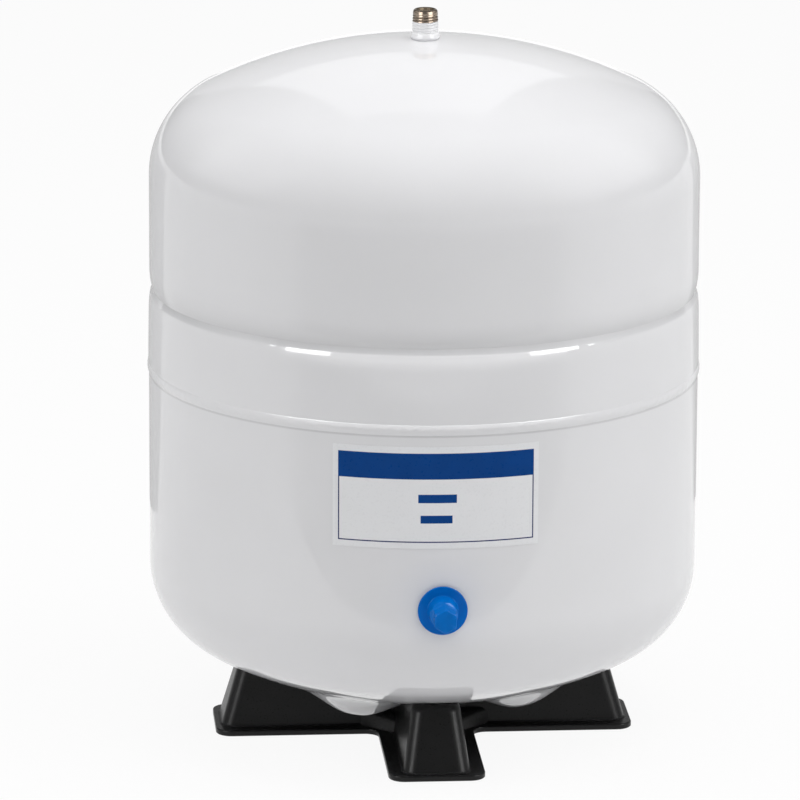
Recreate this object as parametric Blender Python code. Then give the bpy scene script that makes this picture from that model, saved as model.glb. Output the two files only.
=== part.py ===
"""Reverse osmosis storage tank: a steel pressure tank with a diaphragm, on a moulded four-armed stand.

Units are metres, +Z is up, the origin is on the tank's axis at floor level, and the air valve faces -Y.
"""

import math

import bmesh
import bpy
from mathutils import Matrix

# Clearance kept between pieces that touch on the real tank
GAP = 0.0003

# Steel shells
SHELL_R = 0.1400
SHEET = 0.0010
LOWER_PROUD = 0.0004
BAND_PROUD = 0.0003
DOME_CLEARANCE = 0.0194
LOWER_KNUCKLE_R = 0.0468
LOWER_CROWN_R = 0.2547
LOWER_WALL = 0.1027
UPPER_KNUCKLE_R = 0.0487
UPPER_CROWN_R = 0.2603
UPPER_WALL = 0.0571
BAND_HEIGHT = 0.0418
GROOVE_DEPTH = 0.0012
GROOVE_HALF = 0.0032
RIM_STEP = 0.0017

# Feet stamped in the lower dome
LOBE_COUNT = 4
LOBE_PITCH_R = 0.0620
LOBE_R = 0.0255
LOBE_DROP = 0.0087
LOBE_TURN = math.radians(52.5)

# Weld bead round the seam
BEAD_HALF = 0.0028
BEAD_PROUD = 0.0009

# Liner, diaphragm and the ring that clamps them
LINER_INSET = 0.0031
LINER_WALL = 0.0015
RUBBER_WALL = 0.0015
RUBBER_SAG = 0.0120
RUBBER_UNDER_PORT = 0.0031
RING_FLANGE = 0.0057
RING_WALL = 0.0015
RING_HEIGHT = 0.0070
RIM_BEAD_HEIGHT = 0.0044

# Water port at the top
PORT_R = 0.00660
PORT_BORE_R = 0.0042
PORT_RISE = 0.0154
PORT_DEPTH = 0.0135
PORT_NECK_R = 0.0062
PORT_NECK_RISE = 0.0021
PORT_ROUND = 0.0015
PORT_EDGE = 0.0005
COLLAR_R = 0.00755
COLLAR_HEIGHT = 0.0018
PORT_NUT_SEAT = 0.0005
PORT_NUT_FLATS = 0.0190
PORT_NUT_HEIGHT = 0.0060

# Air valve on the lower wall; distances run outward from the shell's outer face
VALVE_RISE = 0.0110
VALVE_ASIDE = -0.0011
STEM_R = 0.00385
STEM_OUT = 0.0155
STEM_BORE_R = 0.0027
STEM_WAIST_R = 0.0020
STEM_BORE_END = 0.0050
FLANGE_R = 0.0080
FLANGE_WALL = 0.0015
GASKET_WALL = 0.0015
STEM_EDGE = 0.0005
WASHER_R = 0.0060
WASHER_WALL = 0.0008
NUT_FLATS = 0.0100
NUT_WALL = 0.0040

# Valve core inside the stem
CORE_R = 0.0024
CORE_BORE_R = 0.0015
CORE_NECK_R = 0.0016
CORE_TOP = 0.0146
CORE_SHOULDER = 0.0098
CORE_FLOOR = 0.0065
CORE_SEAL_WALL = 0.0016
PIN_R = 0.0006
PIN_TOP = 0.0151
PIN_HEAD_R = 0.0011
PIN_HEAD_WALL = 0.0006
PIN_FOOT_R = 0.0012
PIN_FOOT_WALL = 0.0009
PIN_SEAL_R = 0.0015
PIN_SEAL_WALL = 0.0010
SPRING_WIRE_R = 0.00015
SPRING_TURNS = 4

# Blue cap
CAP_DISC_R = 0.0124
CAP_DISC_WALL = 0.0013
CAP_DISH = 0.0006
CAP_BASE_R = 0.00765
CAP_NECK_R = 0.00690
CAP_NECK_OUT = 0.0097
CAP_TIP_R = 0.00600
CAP_OUT = 0.0220
CAP_FLATS = 0.0108
CAP_SKIRT_BORE_R = 0.0062
CAP_SEAL_WALL = 0.0012
CAP_EDGE = 0.0005

# Label on the lower wall
LABEL_WIDTH = 0.1040
LABEL_HEIGHT = 0.0520
LABEL_WALL = 0.0002
LABEL_BELOW_SEAM = 0.0083
LABEL_TURN = math.radians(-1.8)

# Moulded stand
ARM_LENGTH = 0.1075
ARM_WIDTH = 0.0490
STAND_FLANGE = 0.0030
STAND_WALL = 0.0025
FLANGE_CORNER_R = 0.0080
FLANGE_INNER_R = 0.0070
HUMP_WIDTH = 0.0340
HUMP_SETBACK = 0.0035
HUMP_CORNER_R = 0.0040
HUMP_ROUND = 0.0045
SEAT_R = 0.0910
END_DRAFT = math.radians(17.0)
SIDE_DRAFT = math.radians(8.5)
HUB_HEIGHT = 0.0112
HUB_FACE = 0.0354
BOSS_R = 0.0080

# Facets
ROUND_STEPS = 48
LINER_STEPS = 24
PORT_STEPS = 32
VALVE_STEPS = 24
CORE_STEPS = 12
SPRING_STEPS = 8
WIRE_SIDES = 5
CORD_SIDES = 6

SMOOTH_ANGLE = math.radians(35.0)
FULL_TURN = 2.0 * math.pi


def head_depth(wall_r, knuckle_r, crown_r):
    """Height of a dished head made of a knuckle and a spherical crown."""
    return crown_r - math.sqrt((crown_r - knuckle_r) ** 2 - (wall_r - knuckle_r) ** 2)


def head_crown_radius(wall_r, knuckle_r, depth):
    """Crown radius of a dished head that has the given depth."""
    return ((wall_r - knuckle_r) ** 2 + depth**2 - knuckle_r**2) / (2.0 * (depth - knuckle_r))


# Heights and radii that follow from the values above
LOWER_R = SHELL_R + LOWER_PROUD
BAND_R = SHELL_R + BAND_PROUD
LOWER_TANGENT_Z = DOME_CLEARANCE + head_depth(LOWER_R, LOWER_KNUCKLE_R, LOWER_CROWN_R)
SEAM_Z = LOWER_TANGENT_Z + LOWER_WALL
GROOVE_Z = SEAM_Z + BAND_HEIGHT
UPPER_TANGENT_Z = GROOVE_Z + UPPER_WALL
CROWN_Z = UPPER_TANGENT_Z + head_depth(SHELL_R, UPPER_KNUCKLE_R, UPPER_CROWN_R)
RIM_R = SHELL_R - SHEET - GAP
VALVE_Z = LOWER_TANGENT_Z + VALVE_RISE


def material(name, color, roughness, metallic=0.0):
    """One material with a Principled BSDF."""
    made = bpy.data.materials.new(name)
    made.use_nodes = True
    shader = made.node_tree.nodes["Principled BSDF"]
    shader.inputs["Base Color"].default_value = (*color, 1.0)
    shader.inputs["Roughness"].default_value = roughness
    shader.inputs["Metallic"].default_value = metallic
    made.diffuse_color = (*color, 1.0)
    return made


def place(name, bm, look, matrix=None, parent=None):
    """Turns a bmesh into a named object with its own material, smooth where it is round."""
    bmesh.ops.recalc_face_normals(bm, faces=bm.faces)
    mesh = bpy.data.meshes.new(name)
    bm.to_mesh(mesh)
    bm.free()
    mesh.shade_smooth()
    mesh.set_sharp_from_angle(angle=SMOOTH_ANGLE)
    thing = bpy.data.objects.new(name, mesh)
    bpy.context.scene.collection.objects.link(thing)
    if look is not None:
        mesh.materials.append(material(name, *look))
    if parent is not None:
        thing.parent = parent
    elif matrix is not None:
        thing.matrix_world = matrix
    return thing


def helper(name, bm):
    """A cutter: a closed body that is never rendered or exported."""
    thing = place(name, bm, None)
    thing.hide_render = True
    thing.display_type = "WIRE"
    return thing


def combine(thing, other, operation):
    """Adds an exact Boolean of another object to an object."""
    step = thing.modifiers.new(operation.lower(), "BOOLEAN")
    step.operation = operation
    step.solver = "EXACT"
    step.object = other


def turned(profile, steps, closed):
    """A body spun round Z from (radius, height) points; open profiles start and end on the axis."""
    bm = bmesh.new()
    points = [bm.verts.new((r, 0.0, h)) for r, h in profile]
    edges = [bm.edges.new(pair) for pair in zip(points, points[1:])]
    if closed:
        edges.append(bm.edges.new((points[-1], points[0])))
    bmesh.ops.spin(
        bm,
        geom=points + edges,
        cent=(0.0, 0.0, 0.0),
        axis=(0.0, 0.0, 1.0),
        angle=FULL_TURN,
        steps=steps,
        use_merge=True,
    )
    bmesh.ops.remove_doubles(bm, verts=bm.verts, dist=1e-7)
    return bm


def lofted(rings):
    """A body through rings of (x, y, z) points that all have the same count."""
    bm = bmesh.new()
    rows = [[bm.verts.new(p) for p in ring] for ring in rings]
    count = len(rows[0])
    for low, high in zip(rows, rows[1:]):
        for i in range(count):
            j = (i + 1) % count
            bm.faces.new((low[i], low[j], high[j], high[i]))
    bm.faces.new(reversed(rows[0]))
    bm.faces.new(rows[-1])
    return bm


def arc(cx, cy, r, start, end, steps):
    """Points on a circular arc, both ends included."""
    turns = [start + (end - start) * i / steps for i in range(steps + 1)]
    return [(cx + r * math.cos(t), cy + r * math.sin(t)) for t in turns]


def hexagon_radius(flats, angle):
    """Distance from a hexagon's centre to its edge in a direction; a corner lies at angle zero."""
    return 0.5 * flats / math.cos(angle % (math.pi / 3) - math.pi / 6)


def head(wall_r, knuckle_r, crown_r, tangent_z, side, offset, crown_radii, knuckle_steps=5):
    """Points of a dished head offset inwards, from its wall to the given radii on its crown.

    side is +1 for a head that closes upwards and -1 for one that closes downwards.
    """
    reach = wall_r - knuckle_r
    rise = math.sqrt((crown_r - knuckle_r) ** 2 - reach**2)
    join = math.atan2(rise, reach)
    small = knuckle_r - offset
    large = crown_r - offset
    points = []
    for i in range(knuckle_steps + 1):
        turn = join * i / knuckle_steps
        points.append((reach + small * math.cos(turn), tangent_z + side * small * math.sin(turn)))
    for r in crown_radii:
        points.append((r, tangent_z + side * (math.sqrt(large**2 - r * r) - rise)))
    return points


def lobe_drop(x, y):
    """How far the stamped feet push the lower dome down at a point."""
    drop = 0.0
    for i in range(LOBE_COUNT):
        turn = LOBE_TURN + FULL_TURN * i / LOBE_COUNT
        away = math.hypot(x - LOBE_PITCH_R * math.sin(turn), y + LOBE_PITCH_R * math.cos(turn))
        if away < LOBE_R:
            drop += LOBE_DROP * 0.5 * (1.0 + math.cos(math.pi * away / LOBE_R))
    return drop


def press_lobes(bm):
    """Moves the points of the lower dome down into the stamped feet."""
    for v in bm.verts:
        if v.co.z < LOWER_TANGENT_Z:
            v.co.z -= lobe_drop(v.co.x, v.co.y)


def join_radius(wall_r, knuckle_r, crown_r):
    """Radius where a head's knuckle meets its crown."""
    return crown_r * (wall_r - knuckle_r) / (crown_r - knuckle_r)


def lower_crown_radii():
    """Radii of the lower dome's rings, outside to centre, close together across the feet."""
    across = [LOBE_PITCH_R + LOBE_R * k / 3.0 for k in range(3, -4, -1)]
    join_r = join_radius(LOWER_R, LOWER_KNUCKLE_R, LOWER_CROWN_R)
    return [0.5 * (across[0] + join_r), *across, 0.5 * across[-1]]


def crown_radii(wall_r, knuckle_r, crown_r, inner, count):
    """Evenly spaced radii on a crown, from inside its knuckle to the inner radius."""
    join_r = join_radius(wall_r, knuckle_r, crown_r)
    return [join_r + (inner - join_r) * i / count for i in range(1, count + 1)]


def dome_z(r, offset=0.0):
    """Height of the lower dome's outer crown, without feet, at a radius."""
    rise = math.sqrt((LOWER_CROWN_R - LOWER_KNUCKLE_R) ** 2 - (LOWER_R - LOWER_KNUCKLE_R) ** 2)
    return LOWER_TANGENT_Z + rise - math.sqrt((LOWER_CROWN_R + offset) ** 2 - r * r)


def ring_top_z():
    """Top of the clamping ring, just under the rolled groove."""
    return GROOVE_Z - GROOVE_HALF - GAP


def ring_base_z():
    """Foot of the clamping ring, which stands on the lower shell's rim."""
    return ring_top_z() - RING_HEIGHT


def groove_points(r, offset):
    """The rolled groove, bottom to top, on a wall of the given outer radius."""
    floor = r - GROOVE_DEPTH - offset
    return [
        (r - offset + BAND_PROUD, GROOVE_Z - GROOVE_HALF),
        (floor + 0.3 * GROOVE_DEPTH, GROOVE_Z - 0.45 * GROOVE_HALF),
        (floor, GROOVE_Z),
        (floor + 0.4 * GROOVE_DEPTH, GROOVE_Z + 0.5 * GROOVE_HALF),
        (r - offset, GROOVE_Z + GROOVE_HALF),
    ]


def upper_wall_points(offset):
    """The upper shell's section at an offset inwards, from its lower edge up to the port's hole."""
    hole_r = PORT_R + GAP
    radii = crown_radii(SHELL_R, UPPER_KNUCKLE_R, UPPER_CROWN_R, hole_r, 4)
    points = [(BAND_R - offset, SEAM_Z + 0.5 * SHEET + GAP), *groove_points(SHELL_R, offset)]
    return points + head(SHELL_R, UPPER_KNUCKLE_R, UPPER_CROWN_R, UPPER_TANGENT_Z, 1, offset, radii)


def upper_shell():
    """Drawn steel upper half, with the rolled groove, the lap band and the port's hole."""
    bm = turned(upper_wall_points(0.0) + upper_wall_points(SHEET)[::-1], ROUND_STEPS, True)
    return place("upper_shell", bm, ((0.80, 0.80, 0.82), 0.25))


def lower_wall_points(offset):
    """The lower shell's section at an offset inwards, from its inner rim down to the axis."""
    rim = RIM_R - offset
    points = [(rim, ring_base_z() - GAP), (rim, SEAM_Z + GAP), (LOWER_R - offset, SEAM_Z - RIM_STEP)]
    radii = [*lower_crown_radii(), 0.0]
    return points + head(LOWER_R, LOWER_KNUCKLE_R, LOWER_CROWN_R, LOWER_TANGENT_Z, -1, offset, radii)


def valve_frame():
    """Placement of the air valve: its local Z points outwards from the shell's outer face."""
    return Matrix.Translation((VALVE_ASIDE, -LOWER_R, VALVE_Z)) @ Matrix.Rotation(0.5 * math.pi, 4, "X")


def lower_shell():
    """Drawn steel lower half: inner rim, wall, four stamped feet and the valve's hole."""
    bm = turned(lower_wall_points(0.0)[::-1] + lower_wall_points(SHEET), ROUND_STEPS, False)
    press_lobes(bm)
    shell = place("lower_shell", bm, ((0.80, 0.80, 0.82), 0.25))
    hole_r = STEM_R + GAP
    reach = 4.0 * SHEET + GAP
    bore = turned([(0.0, -reach), (hole_r, -reach), (hole_r, reach), (0.0, reach)], VALVE_STEPS, False)
    bore.transform(valve_frame() @ Matrix.Rotation(math.pi / VALVE_STEPS, 4, "Z"))
    combine(shell, helper("valve_hole_cutter", bore), "DIFFERENCE")


def seam_weld():
    """Weld bead between the upper shell's edge and the lower shell's shoulder."""
    inner = LOWER_R + GAP
    crest = LOWER_R + BEAD_PROUD
    side = 0.5 * (inner + crest)
    root_top = SEAM_Z + 0.5 * SHEET
    profile = [
        (inner, SEAM_Z - BEAD_HALF),
        (side, SEAM_Z - 0.75 * BEAD_HALF),
        (crest, SEAM_Z),
        (side, SEAM_Z + 0.75 * BEAD_HALF),
        (inner, SEAM_Z + BEAD_HALF),
        (inner, root_top),
        (RIM_R + 3.0 * GAP, root_top),
        (RIM_R + 4.5 * GAP, SEAM_Z - GAP),
        (inner, SEAM_Z - RIM_STEP + GAP),
    ]
    return place("seam_weld", turned(profile, ROUND_STEPS, True), ((0.78, 0.78, 0.80), 0.3))


def clench_ring():
    """Steel hoop of L section that clamps the diaphragm's rim under the groove."""
    base = ring_base_z()
    inner = RIM_R - RING_FLANGE
    wall = RIM_R - RING_WALL
    top = ring_top_z()
    profile = [
        (inner, base),
        (RIM_R, base),
        (RIM_R, top),
        (wall, top),
        (wall, base + RING_WALL),
        (inner, base + RING_WALL),
    ]
    return place("clench_ring", turned(profile, ROUND_STEPS, True), ((0.45, 0.45, 0.47), 0.4, 1.0))


def liner():
    """Plastic liner of the water side, from the diaphragm's rim to the port."""
    low = ring_base_z() + RING_WALL + RIM_BEAD_HEIGHT + 2.0 * GAP
    radii = crown_radii(SHELL_R, UPPER_KNUCKLE_R, UPPER_CROWN_R, PORT_R + GAP, 3)
    sides = []
    for offset in (LINER_INSET, LINER_INSET + LINER_WALL):
        wall = head(SHELL_R, UPPER_KNUCKLE_R, UPPER_CROWN_R, UPPER_TANGENT_Z, 1, offset, radii)
        sides.append([(SHELL_R - offset, low), *wall])
    bm = turned(sides[0] + sides[1][::-1], LINER_STEPS, True)
    return place("liner", bm, ((0.85, 0.85, 0.83), 0.5))


def diaphragm():
    """Butyl diaphragm, held up under the port by the air charge, with its clamped rim."""
    base = ring_base_z() + RING_WALL + GAP
    top = base + RIM_BEAD_HEIGHT
    wall_r = SHELL_R - LINER_INSET - LINER_WALL - GAP
    rim_r = SHELL_R - LINER_INSET
    knuckle_r = UPPER_KNUCKLE_R - SHELL_R + wall_r
    tangent = UPPER_TANGENT_Z - RUBBER_SAG
    crown_r = head_crown_radius(wall_r, knuckle_r, CROWN_Z - PORT_DEPTH - RUBBER_UNDER_PORT - tangent)
    radii = crown_radii(wall_r, knuckle_r, crown_r, 0.0, 3)
    outer = head(wall_r, knuckle_r, crown_r, tangent, 1, 0.0, radii)
    inner = head(wall_r, knuckle_r, crown_r, tangent, 1, RUBBER_WALL, radii)
    rim = [(wall_r, top), (rim_r, top), (rim_r, base), (wall_r - RUBBER_WALL, base)]
    bm = turned(outer[::-1] + rim + inner, LINER_STEPS, False)
    return place("diaphragm", bm, ((0.06, 0.06, 0.06), 0.7))


def cut_flats(bm, flats, above, turn=0.0):
    """Presses the outside of a turned body, above a height, into a hexagon."""
    for v in bm.verts:
        r = math.hypot(v.co.x, v.co.y)
        limit = hexagon_radius(flats, math.atan2(v.co.y, v.co.x) - turn)
        if v.co.z > above and r > limit:
            v.co.x *= limit / r
            v.co.y *= limit / r


def nut(flats, bore_r, low, high):
    """A hexagonal nut along local Z, with a round bore."""
    corner_r = flats / math.sqrt(3.0)
    profile = [(bore_r, low), (corner_r, low), (corner_r, high), (bore_r, high)]
    bm = turned(profile, VALVE_STEPS, True)
    cut_flats(bm, flats, low - GAP)
    return bm


def port_nipple():
    """Water port: a threaded tube, rounded at its mouth, welded into the crown."""
    low = CROWN_Z - PORT_DEPTH
    top = CROWN_Z + PORT_RISE
    neck_top = CROWN_Z + PORT_NECK_RISE
    lead = PORT_R - PORT_NECK_R
    mouth = arc(PORT_R - PORT_ROUND, top - PORT_ROUND, PORT_ROUND, 0.0, 0.5 * math.pi, 4)
    outer = [
        (PORT_R - PORT_EDGE, low),
        (PORT_R, low + PORT_EDGE),
        (PORT_R, CROWN_Z - lead),
        (PORT_NECK_R, CROWN_Z),
        (PORT_NECK_R, neck_top),
        (PORT_R, neck_top + 0.5 * lead),
    ]
    profile = outer + mouth + [(PORT_BORE_R, top), (PORT_BORE_R, low)]
    return place("port_nipple", turned(profile, PORT_STEPS, True), ((0.50, 0.42, 0.33), 0.25, 1.0))


def port_weld():
    """Weld collar round the water port's foot."""
    inner = PORT_NECK_R + GAP
    foot = CROWN_Z + GAP
    top = CROWN_Z + COLLAR_HEIGHT
    profile = [
        (inner, foot),
        (COLLAR_R - GAP, foot),
        (COLLAR_R, 0.5 * (foot + top)),
        (PORT_R, top),
        (inner, top),
    ]
    return place("port_weld", turned(profile, PORT_STEPS, True), ((0.80, 0.80, 0.82), 0.35))


def port_o_ring():
    """Rubber ring between the crown and the liner, round the port."""
    cord_r = 0.5 * (LINER_INSET - SHEET) - GAP
    centre_r = PORT_R + GAP + cord_r
    centre_z = CROWN_Z - 0.5 * (LINER_INSET + SHEET)
    section = arc(centre_r, centre_z, cord_r, 0.0, FULL_TURN, CORD_SIDES)[:-1]
    return place("port_o_ring", turned(section, VALVE_STEPS, True), ((0.05, 0.05, 0.05), 0.6))


def liner_nut():
    """Hexagonal nut that holds the liner to the port from inside."""
    top = CROWN_Z - LINER_INSET - LINER_WALL - PORT_NUT_SEAT - GAP
    bm = nut(PORT_NUT_FLATS, PORT_R + GAP, top - PORT_NUT_HEIGHT, top)
    return place("liner_nut", bm, ((0.85, 0.85, 0.83), 0.5))


def facet_sag():
    """How far a flat round seat stands off the faceted wall's inner face."""
    return FLANGE_R * math.tan(math.pi / ROUND_STEPS)


def gasket_top():
    """Outer face of the valve's gasket, measured outwards from the shell's outer face."""
    return -SHEET - facet_sag() - 0.5 * GAP


def nut_top():
    """Outer face of the valve's nut."""
    return 2.0 * GAP + WASHER_WALL + NUT_WALL


def tube(name, inner_r, outer_r, low, high, steps, look):
    """A plain ring or tube on the air valve's axis."""
    profile = [(inner_r, low), (outer_r, low), (outer_r, high), (inner_r, high)]
    return place(name, turned(profile, steps, True), look, valve_frame())


def valve_stem():
    """Brass valve body: inner flange, threaded neck and stepped bore."""
    flange_top = gasket_top() - GASKET_WALL - GAP
    foot = flange_top - FLANGE_WALL
    profile = [
        (STEM_WAIST_R, foot),
        (FLANGE_R, foot),
        (FLANGE_R, flange_top),
        (STEM_R, flange_top),
        (STEM_R, STEM_OUT - STEM_EDGE),
        (STEM_R - STEM_EDGE, STEM_OUT),
        (STEM_BORE_R, STEM_OUT),
        (STEM_BORE_R, STEM_BORE_END),
        (STEM_WAIST_R, STEM_BORE_END),
    ]
    bm = turned(profile, VALVE_STEPS, True)
    return place("valve_stem", bm, ((0.72, 0.56, 0.28), 0.3, 1.0), valve_frame())


def valve_fixings():
    """Gasket inside the shell, washer and nut outside it."""
    bore_r = STEM_R + GAP
    top = gasket_top()
    tube("valve_gasket", bore_r, FLANGE_R, top - GASKET_WALL, top, VALVE_STEPS, ((0.05, 0.05, 0.05), 0.7))
    steel = ((0.60, 0.60, 0.62), 0.35, 1.0)
    tube("valve_washer", bore_r, WASHER_R, GAP, GAP + WASHER_WALL, VALVE_STEPS, steel)
    bm = nut(NUT_FLATS, bore_r, nut_top() - NUT_WALL, nut_top())
    place("valve_nut", bm, steel, valve_frame())


def core_barrel():
    """Valve core's barrel: a screwed upper part with the spring's chamber, and a slim neck."""
    pin_bore_r = PIN_R + GAP
    step = CORE_SHOULDER - GAP
    profile = [
        (pin_bore_r, CORE_FLOOR),
        (CORE_NECK_R, CORE_FLOOR),
        (CORE_NECK_R, step),
        (CORE_R, step),
        (CORE_R, CORE_TOP),
        (CORE_BORE_R, CORE_TOP),
        (CORE_BORE_R, CORE_SHOULDER),
        (pin_bore_r, CORE_SHOULDER),
    ]
    bm = turned(profile, CORE_STEPS, True)
    place("core_barrel", bm, ((0.72, 0.56, 0.28), 0.3, 1.0), valve_frame())
    seal_r = CORE_NECK_R + GAP
    high = step - GAP
    low = high - CORE_SEAL_WALL
    tube("core_barrel_seal", seal_r, CORE_R, low, high, CORE_STEPS, ((0.75, 0.12, 0.10), 0.5))


def pin_head_z():
    """Under side of the pin's head, against which the spring presses."""
    return CORE_TOP - PIN_HEAD_WALL


def core_pin(parent):
    """The pin that is pressed to let air in or out, and the seal that it carries."""
    seal_top = CORE_FLOOR - GAP
    seal_low = seal_top - PIN_SEAL_WALL
    foot_top = seal_low - GAP
    foot = foot_top - PIN_FOOT_WALL
    profile = [
        (0.0, foot),
        (PIN_FOOT_R, foot),
        (PIN_FOOT_R, foot_top),
        (PIN_R, foot_top),
        (PIN_R, pin_head_z()),
        (PIN_HEAD_R, pin_head_z()),
        (PIN_HEAD_R, CORE_TOP),
        (PIN_R, CORE_TOP),
        (PIN_R, PIN_TOP),
        (0.0, PIN_TOP),
    ]
    place("core_pin", turned(profile, CORE_STEPS, False), ((0.72, 0.56, 0.28), 0.3, 1.0), parent=parent)
    bore_r = PIN_R + GAP
    ring = [(bore_r, seal_low), (PIN_SEAL_R, seal_low), (PIN_SEAL_R, seal_top), (bore_r, seal_top)]
    place("core_seal", turned(ring, CORE_STEPS, True), ((0.05, 0.05, 0.05), 0.6), parent=parent)


def core_spring():
    """Coil spring round the pin, inside the barrel."""
    low = CORE_SHOULDER + GAP + SPRING_WIRE_R
    high = pin_head_z() - GAP - SPRING_WIRE_R
    coil_r = PIN_R + GAP + SPRING_WIRE_R
    count = SPRING_TURNS * SPRING_STEPS
    rings = []
    for i in range(count + 1):
        turn = FULL_TURN * i / SPRING_STEPS
        height = low + (high - low) * i / count
        section = arc(coil_r, height, SPRING_WIRE_R, 0.0, FULL_TURN, WIRE_SIDES)[:-1]
        rings.append([(r * math.cos(turn), r * math.sin(turn), h) for r, h in section])
    place("core_spring", lofted(rings), ((0.60, 0.60, 0.62), 0.3, 1.0), valve_frame())


def cap_seal_low():
    """Inner face of the cap's seal, just clear of the stem's mouth."""
    return STEM_OUT + GAP


def grip_radius(height):
    """Radius of the cap's taper between its neck and its tip."""
    share = (height - CAP_NECK_OUT) / (CAP_OUT - CAP_NECK_OUT)
    return CAP_NECK_R + (CAP_TIP_R - CAP_NECK_R) * share


def valve_cap(parent):
    """Screw cap with a dished disc, a tapered neck and a hexagonal grip."""
    bore_end = cap_seal_low() + CAP_SEAL_WALL + GAP
    skirt_end = nut_top() + GAP
    bore_r = STEM_R + GAP
    disc_low = GAP + CAP_DISH
    grip_low, grip_high = CAP_NECK_OUT + GAP, CAP_OUT - CAP_EDGE
    grip_heights = [grip_low + (grip_high - grip_low) * k / 3 for k in range(4)]
    profile = [
        (0.0, bore_end),
        (bore_r, bore_end),
        (bore_r, skirt_end),
        (CAP_SKIRT_BORE_R, skirt_end),
        (CAP_SKIRT_BORE_R, GAP),
        (CAP_BASE_R, GAP),
        (CAP_DISC_R - CAP_EDGE, disc_low),
        (CAP_DISC_R, disc_low + CAP_EDGE),
        (CAP_DISC_R, disc_low + CAP_DISC_WALL),
        (CAP_DISC_R - CAP_EDGE, disc_low + CAP_DISC_WALL),
        (CAP_BASE_R, GAP + CAP_DISC_WALL),
        (CAP_NECK_R, CAP_NECK_OUT),
        *[(grip_radius(h), h) for h in grip_heights],
        (CAP_TIP_R - CAP_EDGE, CAP_OUT),
        (0.0, CAP_OUT),
    ]
    bm = turned(profile, VALVE_STEPS, False)
    cut_flats(bm, CAP_FLATS, CAP_NECK_OUT, 0.5 * math.pi)
    place("valve_cap", bm, ((0.03, 0.16, 0.48), 0.3), parent=parent)


def cap_seal(parent):
    """Rubber disc in the cap that closes the stem's mouth."""
    low = cap_seal_low()
    high = low + CAP_SEAL_WALL
    bm = turned([(0.0, low), (STEM_R, low), (STEM_R, high), (0.0, high)], VALVE_STEPS, False)
    place("cap_seal", bm, ((0.05, 0.05, 0.05), 0.7), parent=parent)


def moving_axis(name):
    """An empty on the air valve's axis, which carries what moves along or about it."""
    empty = bpy.data.objects.new(name, None)
    bpy.context.scene.collection.objects.link(empty)
    empty.matrix_world = valve_frame()
    return empty


def label():
    """Thin label bent round the lower wall."""
    inner_r = LOWER_R + GAP
    half = 0.5 * LABEL_WIDTH / inner_r
    start, end = LABEL_TURN - 0.5 * math.pi - half, LABEL_TURN - 0.5 * math.pi + half
    top = SEAM_Z - LABEL_BELOW_SEAM
    outline = arc(0.0, 0.0, inner_r + LABEL_WALL, start, end, 16)
    outline += arc(0.0, 0.0, inner_r, end, start, 16)
    bm = lofted([[(x, y, z) for x, y in outline] for z in (top - LABEL_HEIGHT, top)])
    return place("label", bm, ((0.85, 0.86, 0.88), 0.4))


def quarter_turns(points):
    """The same points repeated at each quarter turn about Z."""
    found = []
    for _ in range(4):
        found += points
        points = [(-y, x) for x, y in points]
    return found


def cross(half, reach, tip_r, inner_r, tip_steps=3, inner_steps=1):
    """Outline of a four-armed cross with rounded tips and rounded or cut inner corners."""
    points = arc(reach - tip_r, tip_r - half, tip_r, -0.5 * math.pi, 0.0, tip_steps)
    points += arc(reach - tip_r, half - tip_r, tip_r, 0.0, 0.5 * math.pi, tip_steps)
    points += arc(half + inner_r, half + inner_r, inner_r, 1.5 * math.pi, math.pi, inner_steps)
    return quarter_turns(points)


def octagon(half, face):
    """Outline with four long corner faces at a distance from the axis, and short ends inside the arms."""
    reach = math.sqrt(2.0) * face - half
    return quarter_turns([(reach, -half), (reach, half)])


def raised(outline, z):
    """An outline at a height."""
    return [(x, y, z) for x, y in outline]


def hump_outline(z, wall, inset):
    """Outline of the arms' raised boxes at a height, inside a wall and an edge rounding."""
    up = z - STAND_FLANGE
    half = 0.5 * HUMP_WIDTH - wall - inset - up * math.tan(SIDE_DRAFT)
    reach = ARM_LENGTH - HUMP_SETBACK - wall - inset - up * math.tan(END_DRAFT)
    return cross(half, reach, HUMP_CORNER_R, HUMP_CORNER_R)


def dome_cutter(name, gap):
    """The lower dome with its feet, grown by a gap: it shapes what the tank sits in."""
    rim = join_radius(LOWER_R, LOWER_KNUCKLE_R, LOWER_CROWN_R)
    radii = [rim, *lower_crown_radii(), 0.0]
    line = [(0.0, LOWER_TANGENT_Z), (rim, LOWER_TANGENT_Z)] + [(r, dome_z(r, gap)) for r in radii]
    bm = turned(line, ROUND_STEPS, False)
    press_lobes(bm)
    return helper(name, bm)


def hub_rings(low, share, wall):
    """Rings of the low hub between the arms, from a height up, inside a wall."""
    edge = 0.5 * STAND_WALL
    top = HUB_HEIGHT - wall
    levels = [(low, 0.0), (top - edge, 0.0), (top, edge)]
    rings = []
    for z, inset in levels:
        face = HUB_FACE - wall - inset - (z - STAND_FLANGE) * math.tan(SIDE_DRAFT)
        rings.append(raised(octagon(share * HUMP_WIDTH, face), z))
    return rings


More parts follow.
